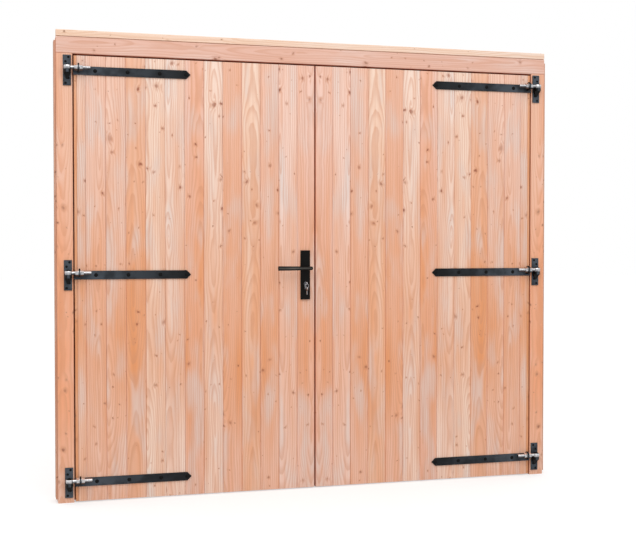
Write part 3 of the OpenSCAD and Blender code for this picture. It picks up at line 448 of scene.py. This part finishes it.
def coated_steel(name, tone, dust_and_sheen_tone, gloss, roughness, dust_and_sheen_span=ALL_OVER):
    """Powder-coated steel: satin black with the coat's faint orange peel.

    The faces at the front and back have greyed a little, all over or more and more between two distances
    from the middle of the door, and the edges are blacker: the grey is patchy dust and a painted sheen,
    which on the levers is a painted highlight and on the straps a painted reflection that grows towards the
    hinges."""
    material, put = new_material(name)
    surface = put("ShaderNodeTexCoord").outputs
    place = put(SPLIT_VECTOR, {0: surface["Object"]}).outputs
    side = put(MATH, {0: place[0]}, operation="ABSOLUTE")
    dust_and_sheen_by_side = put(RANGE, {VALUE: side, LOW: dust_and_sheen_span[0], HIGH: dust_and_sheen_span[1]})
    facing = put(SPLIT_VECTOR, {0: surface["Normal"]}).outputs
    face = put(MATH, {0: facing[1]}, operation="ABSOLUTE")
    dust_and_sheen_face = put(RANGE, {VALUE: face, LOW: DUST_AND_SHEEN_FACE_START, HIGH: DUST_AND_SHEEN_FACE_FULL})
    peel = put(NOISE, {"Vector": surface["Object"], "Scale": 1 / PEEL_SIZE, "Detail": 1.0})
    relief = put("ShaderNodeBump", {"Strength": 0.15, "Distance": PEEL_HEIGHT, "Height": peel})
    dust = put(NOISE, {"Vector": surface["Object"], "Scale": 1 / DUST_PATCH, "Detail": 4.0})
    dust_ends = {LOW: DUST_LOW, HIGH: DUST_HIGH, LEAST: DUST_LEAST_SHARE}
    patchy = put(RANGE, {VALUE: dust, **dust_ends}, interpolation_type=SMOOTH)
    dust_and_sheen_grey = put(MATH, {0: dust_and_sheen_face, 1: dust_and_sheen_by_side}, operation="MULTIPLY")
    share = put(MATH, {0: dust_and_sheen_grey, 1: patchy}, operation="MULTIPLY")
    # The front and back faces take the second tone: patchy dust and painted sheen
    coat = put(MIX, {MIX_SHARE: share, MIX_A: linear(tone), MIX_B: linear(dust_and_sheen_tone)}, data_type="RGBA")
    sheen = put(RANGE, {VALUE: dust, LEAST: roughness - SHEEN_SPREAD, MOST: roughness + SHEEN_SPREAD})
    shader = put("ShaderNodeBsdfPrincipled", {
        "Base Color": coat, "Roughness": sheen, "Specular IOR Level": gloss, "Normal": relief,
    })
    put("ShaderNodeOutputMaterial", {"Surface": shader})
    return material


def plated_metal(name, tone, underside_shade_tone, roughness):
    """Bright metal with a slightly cloudy sheen, and painted shade that darkens its undersides."""
    material, put = new_material(name)
    surface = put("ShaderNodeTexCoord").outputs
    facing = put(SPLIT_VECTOR, {0: surface["Normal"]}).outputs
    cloud = put(NOISE, {"Vector": surface["Object"], "Scale": 1 / CLOUD_SIZE, "Detail": 3.0})
    sheen = put(RANGE, {VALUE: cloud, LEAST: roughness - SHEEN_SPREAD, MOST: roughness + SHEEN_SPREAD})
    uneven = put(RANGE, {VALUE: cloud, LEAST: -CLOUD_TILT, MOST: CLOUD_TILT})
    upward = put(MATH, {0: facing[2], 1: uneven}, operation="ADD")
    # Painted shade: the undersides turn to the darker second tone
    underside_shade = put(RANGE, {VALUE: upward, LOW: UPPER_SIDE, HIGH: -UPPER_SIDE}, interpolation_type=SMOOTH)
    plate = put(MIX, {MIX_SHARE: underside_shade, MIX_A: linear(tone), MIX_B: linear(underside_shade_tone)}, data_type="RGBA")
    shader = put("ShaderNodeBsdfPrincipled", {"Base Color": plate, "Metallic": 1.0, "Roughness": sheen})
    put("ShaderNodeOutputMaterial", {"Surface": shader})
    return material


BOARD_TONES = Tones(
    pale="#fae1cf", warm="#f0bc9c", rosy="#f5cbc0", glow="#ea9a63", faded="#e3d6d0",
    late_wood="#d4936f", knot="#c6835f", knot_heart="#8a4228", sawn_and_shade="#d4682c",
)
RAIL_TONES = Tones(
    pale="#f6caae", warm="#f0b292", rosy="#f3c3b0", glow="#f4a170", faded="#f0d2c4",
    late_wood="#da9872", knot="#c08a6e", knot_heart="#8e5740", sawn_and_shade="#dc8f5e",
)
# Hinge stiles: warmer fir, whose orange is partly painted bounced light in the recess beside the boards
STILE_AND_BOUNCE_TONES = Tones(
    pale="#efb68c", warm="#e6a274", rosy="#e8aa88", glow="#e09660", faded="#eac2a6",
    late_wood="#cf8658", knot="#b57a58", knot_heart="#8e5740", sawn_and_shade="#d0743f",
)
HEAD_TONES = Tones(
    pale="#edc8b8", warm="#e5b19b", rosy="#eabfb0", glow="#e0a184", faded="#ead0c6",
    late_wood="#d09678", knot="#b98068", knot_heart="#8e5740", sawn_and_shade="#d8834e",
)
LATH_TONES = Tones(
    pale="#f6dcc6", warm="#f2cdb2", rosy="#f2d2c0", glow="#ecbf98", faded="#f4e0d2",
    late_wood="#dcab88", knot="#c0906f", knot_heart="#8a5c46", sawn_and_shade="#e2b890",
)
BATTEN_TONES = Tones(
    pale="#ddae93", warm="#d29d7f", rosy="#d2a08e", glow="#cd9170", faded="#dab6a4",
    late_wood="#b67f5f", knot="#99664a", knot_heart="#663e2c", sawn_and_shade="#ba8262",
)


def middle_of(node, axis):
    """The middle of a CAD node along an axis."""
    lowest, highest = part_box(node)
    return (lowest[axis] + highest[axis]) / 2


JAMB_MIDDLE_X = middle_of("right_jamb", 0)
HEAD_MIDDLE_Z = middle_of("head_rail", 2)
LATH_MIDDLE_Z = middle_of("head_lath", 2)
brace_lowest, brace_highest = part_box("right_lower_brace")
BRACE_SLOPE = math.atan2(brace_highest.z - brace_lowest.z, brace_highest.x - brace_lowest.x)

board_fir = fir("planed_fir_boards", board_layout, BOARD_TONES)
jamb_fir = fir("planed_fir_jambs", upright_layout(JAMB_MIDDLE_X, number=21.0), RAIL_TONES)
hinge_stile_fir = fir("planed_fir_hinge_stiles", upright_layout(LEAF_EDGE_X, number=28.0), STILE_AND_BOUNCE_TONES)
stile_fir = fir("planed_fir_stiles", upright_layout(LEAF_EDGE_X / 2, number=22.0), RAIL_TONES)
head_fir = fir("planed_fir_head", level_layout(HEAD_MIDDLE_Z, number=23.0), HEAD_TONES)
lath_fir = fir("planed_fir_lath", level_layout(LATH_MIDDLE_Z, number=24.0), LATH_TONES)
ledge_fir = fir("planed_fir_ledges", level_layout(0.0, number=25.0), RAIL_TONES)
brace_fir = fir("planed_fir_braces", sloping_layout(BRACE_SLOPE, number=26.0), RAIL_TONES)
batten_fir = fir("rough_fir_battens", upright_layout(JAMB_MIDDLE_X, number=27.0), BATTEN_TONES)
# Straps: the grey of their front faces, growing from the tips to the hinges, is a painted reflection with
# patchy dust
strap_steel = coated_steel(
    "powder_coated_steel", "#050505", "#4b525a", gloss=0.14, roughness=0.45, dust_and_sheen_span=TIP_TO_HINGE,
)
bolt_steel = coated_steel("powder_coated_bolts", "#050506", "#0b0b0c", gloss=0.12, roughness=0.5)
plate_steel = coated_steel("powder_coated_plates", "#050504", "#0d0b09", gloss=0.1, roughness=0.5)
# Levers: the grey of their front faces is a painted highlight along the bar
lever_steel = coated_steel("powder_coated_levers", "#020202", "#5c5751", gloss=0.12, roughness=0.3)
# Plated metals: the second colour is painted shade on the undersides
zinc = plated_metal("bright_zinc_plate", "#e8e8ea", "#58585c", roughness=0.22)
nickel = plated_metal("satin_nickel", "#84858a", "#4c4d50", roughness=0.35)
lock_brass = plated_metal("plain_brass", "#c6a76a", "#8a703f", roughness=0.35)

# Words in a node's name, with its material and the record's slot; the first match counts
FINISHES = (
    (("boards", "meeting_board"), board_fir, "boards"),
    (("head_lath",), lath_fir, "boards"),
    (("head_rail",), head_fir, "frame_timber"),
    (("batten",), batten_fir, "frame_timber"),
    (("jamb",), jamb_fir, "frame_timber"),
    (("hinge_stile",), hinge_stile_fir, "frame_timber"),
    (("stile",), stile_fir, "frame_timber"),
    (("ledge",), ledge_fir, "frame_timber"),
    (("brace",), brace_fir, "frame_timber"),
    (("outer_lever", "inner_lever"), lever_steel, "black_steel"),
    (("handle_plate",), plate_steel, "black_steel"),
    (("frame_screws", "strap_bolts"), bolt_steel, "black_steel"),
    (("pintle", "hinge_pins", "strap"), strap_steel, "black_steel"),
    (("lock_follower", "latch_bolt"), lock_brass, "brass"),
    (("cylinder",), nickel, "zinc"),
    (("",), zinc, "zinc"),
)


def finish(piece, node):
    """Gives a piece the material of a CAD node."""
    matches = (row for row in FINISHES if any(word in node for word in row[0]))
    _, material, slot = next(matches)
    piece.data.materials.clear()
    piece.data.materials.append(material)


for node_name, node_object in frame["nodes"].items():
    finish(node_object, node_name)

# Hardware: copies with eased edges, which catch the light, stand for the CAD nodes
MERGE_DISTANCE = 0.001 * MM
FLAT_ANGLE = math.radians(1)
SHARP_ANGLE = math.radians(35)
EASES = (
    (("top_strap", "middle_strap", "bottom_strap", "pintle"), 0.9 * MM),
    (("adjusting_nuts", "outer_handle_plate", "inner_handle_plate"), 0.9 * MM),
    (("lever", "eyebolts", "shoot", "strike_plate"), 0.5 * MM),
    (("key",), 0.3 * MM),
)


def eased(node, width):
    """A copy of a CAD node with its sharp edges eased."""
    mesh = bpy.data.meshes.new(node + "_eased")
    work = bmesh.new()
    work.from_mesh(frame["nodes"][node].data)
    bmesh.ops.remove_doubles(work, verts=work.verts, dist=MERGE_DISTANCE)
    bmesh.ops.dissolve_limit(work, angle_limit=FLAT_ANGLE, verts=work.verts, edges=work.edges)
    for face in work.faces:
        face.smooth = True
    work.to_mesh(mesh)
    work.free()
    if "custom_normal" in mesh.attributes:
        mesh.attributes.remove(mesh.attributes["custom_normal"])
    piece = bpy.data.objects.new(node + "_eased", mesh)
    bpy.context.scene.collection.objects.link(piece)
    bevel = piece.modifiers.new("eased_edges", "BEVEL")
    bevel.width = width
    bevel.segments = 2
    bevel.limit_method = "ANGLE"
    bevel.angle_limit = SHARP_ANGLE
    bevel.harden_normals = True
    return piece


for node_name, node_object in frame["nodes"].items():
    for words, ease_width in EASES:
        if any(word in node_name for word in words):
            eased_piece = eased(node_name, ease_width)
            finish(eased_piece, node_name)
            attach(eased_piece, node_object["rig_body"])
            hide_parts(node_name)

# Thread on the rods of the eyebolts, from the eye to the tail
PIN_X = 1133 * MM
PIN_Y = -53 * MM
ROD_RADIUS = 8 * MM
ROD_ABOVE_STRAP_FOOT = 29 * MM
THREAD_START = 21 * MM
THREAD_END = 98 * MM
THREAD_PITCH = 2 * MM
THREAD_RIDGE = 0.7 * MM
THREAD_SIZES = {
    "Radius": ROD_RADIUS, "Length": THREAD_END - THREAD_START, "Pitch": THREAD_PITCH, "Ridge": THREAD_RIDGE,
}
POINTS_A_TURN = 20
RIDGE_SIDES = 6


def thread_tree():
    """A tree that winds a ridge along X from each point of the mesh it is given."""
    tree = bpy.data.node_groups.new("rod_thread", "GeometryNodeTree")
    tree.interface.new_socket("Geometry", in_out="INPUT", socket_type="NodeSocketGeometry")
    for size in THREAD_SIZES:
        tree.interface.new_socket(size, in_out="INPUT", socket_type="NodeSocketFloat")
    tree.interface.new_socket("Finish", in_out="INPUT", socket_type="NodeSocketMaterial")
    tree.interface.new_socket("Geometry", in_out="OUTPUT", socket_type="NodeSocketGeometry")
    put = functools.partial(add, tree)
    given = put("NodeGroupInput").outputs
    turns = put(MATH, {0: given["Length"], 1: given["Pitch"]}, operation="DIVIDE")
    helix = put("GeometryNodeCurveSpiral", {
        "Resolution": POINTS_A_TURN, "Rotations": turns, "Start Radius": given["Radius"],
        "End Radius": given["Radius"], "Height": given["Length"],
    })
    ridge = put("GeometryNodeCurvePrimitiveCircle", {"Resolution": RIDGE_SIDES, "Radius": given["Ridge"]})
    thread = put("GeometryNodeCurveToMesh", {"Curve": helix, "Profile Curve": ridge, "Fill Caps": True})
    rods = put("GeometryNodeInstanceOnPoints", {
        "Points": given["Geometry"], "Instance": thread, "Rotation": (0.0, math.pi / 2, 0.0),
    })
    finished = put("GeometryNodeSetMaterial", {
        "Geometry": put("GeometryNodeRealizeInstances", {0: rods}), "Material": given["Finish"],
    })
    put("NodeGroupOutput", {0: finished})
    return tree


def grown(name, tree, points, inputs):
    """A plain mesh made by a tree from points and its named inputs."""
    start = bpy.data.meshes.new(name + "_points")
    start.from_pydata(points, [], [])
    piece = bpy.data.objects.new(name, start)
    bpy.context.scene.collection.objects.link(piece)
    growing = piece.modifiers.new("growing", "NODES")
    growing.node_group = tree
    for socket in tree.interface.items_tree:
        if socket.in_out == "INPUT" and socket.name in inputs:
            growing[socket.identifier] = inputs[socket.name]
    evaluated = piece.evaluated_get(bpy.context.evaluated_depsgraph_get())
    piece.data = bpy.data.meshes.new_from_object(evaluated)
    piece.modifiers.clear()
    bpy.data.meshes.remove(start)
    return piece


rod_thread = thread_tree()
for leaf, thread_x in (("left", THREAD_START - PIN_X), ("right", PIN_X - THREAD_END)):
    strap_feet = [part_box(leaf + level + "_strap")[0].z for level in ("_bottom", "_middle", "_top")]
    rod_starts = [(thread_x, PIN_Y, foot + ROD_ABOVE_STRAP_FOOT) for foot in strap_feet]
    threads = grown(leaf + "_rod_threads", rod_thread, rod_starts, {**THREAD_SIZES, "Finish": zinc})
    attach(threads, leaf + "_leaf")


# Studio: a floor and a backdrop that are white to the eye and in reflections
FLOOR_SIZE = 60.0
FLOOR_GLOW = 0.46
SKY_STRENGTH = 0.97
BACKDROP_STRENGTH = 1.0


def seen_share(put):
    """1 where a ray comes from the camera or from a reflection, and 0 for light that bounces."""
    ray = put("ShaderNodeLightPath").outputs
    mirrored = put(MATH, {0: ray["Is Glossy Ray"], 1: ray["Is Transmission Ray"]}, operation="MAXIMUM")
    return put(MATH, {0: ray["Is Camera Ray"], 1: mirrored}, operation="MAXIMUM")


floor_mesh = bpy.data.meshes.new("floor")
floor_signs = ((-1, -1), (1, -1), (1, 1), (-1, 1))
floor_corners = [(x * FLOOR_SIZE / 2, y * FLOOR_SIZE / 2, 0.0) for x, y in floor_signs]
floor_mesh.from_pydata(floor_corners, [], [(0, 1, 2, 3)])
floor = bpy.data.objects.new("floor", floor_mesh)
bpy.context.scene.collection.objects.link(floor)
floor_material, put_floor = new_material("pale_floor")
shaded = put_floor("ShaderNodeBsdfDiffuse", {"Color": linear("#c8c8c8")})
glow = put_floor("ShaderNodeEmission", {"Color": linear("#ffffff"), "Strength": FLOOR_GLOW})
shown = put_floor("ShaderNodeAddShader", {0: shaded, 1: glow})
bounced = put_floor("ShaderNodeBsdfDiffuse", {"Color": linear("#c0c0c0")})
floor_shader = put_floor("ShaderNodeMixShader", {0: seen_share(put_floor), 1: bounced, 2: shown})
put_floor("ShaderNodeOutputMaterial", {"Surface": floor_shader})
floor_mesh.materials.append(floor_material)

world = bpy.data.worlds.new("studio")
bpy.context.scene.world = world
world.use_nodes = True
world.node_tree.nodes.clear()
put_world = functools.partial(add, world.node_tree)
sky = put_world("ShaderNodeBackground", {"Color": linear("#ffffff"), "Strength": SKY_STRENGTH})
backdrop = put_world("ShaderNodeBackground", {"Color": linear("#ffffff"), "Strength": BACKDROP_STRENGTH})
world_shader = put_world("ShaderNodeMixShader", {0: seen_share(put_world), 1: sky, 2: backdrop})
put_world("ShaderNodeOutputWorld", {"Surface": world_shader})


def aimed(name, data, place, direction):
    """Places a lamp or a camera that looks in a direction."""
    made = bpy.data.objects.new(name, data)
    bpy.context.scene.collection.objects.link(made)
    made.location = place
    made.rotation_mode = "QUATERNION"
    made.rotation_quaternion = direction.to_track_quat("-Z", "Y")
    return made


# Key light: a wide softbox above and in front, so that the top is a little brighter than the foot
SOFTBOX_PLACE = Vector((-0.5, -3.2, 4.4))
SOFTBOX_TARGET = Vector((0.0, 0.0, 1.2))
SOFTBOX_WIDTH = 5.0
SOFTBOX_DEPTH = 3.0
SOFTBOX_POWER = 72.0
softbox_data = bpy.data.lights.new("softbox", "AREA")
softbox_data.shape = "RECTANGLE"
softbox_data.size = SOFTBOX_WIDTH
softbox_data.size_y = SOFTBOX_DEPTH
softbox_data.energy = SOFTBOX_POWER
aimed("softbox", softbox_data, SOFTBOX_PLACE, SOFTBOX_TARGET - SOFTBOX_PLACE)

# Camera, solved from the frame's corners and the lines between the boards in the photograph
CAMERA_PLACE = Vector((-1430 * MM, -5096 * MM, 1153 * MM))
CAMERA_YAW = math.radians(15.91)
CAMERA_PITCH = math.radians(-1.41)
CAMERA_LENS = 63.57
CAMERA_SENSOR = 36.0
camera_data = bpy.data.cameras.new("camera")
camera_data.lens = CAMERA_LENS
camera_data.sensor_width = CAMERA_SENSOR
camera_data.sensor_fit = "HORIZONTAL"
camera_direction = Vector((
    math.sin(CAMERA_YAW) * math.cos(CAMERA_PITCH),
    math.cos(CAMERA_YAW) * math.cos(CAMERA_PITCH),
    math.sin(CAMERA_PITCH),
))
bpy.context.scene.camera = aimed("camera", camera_data, CAMERA_PLACE, camera_direction)
bpy.context.scene.view_settings.view_transform = "Standard"
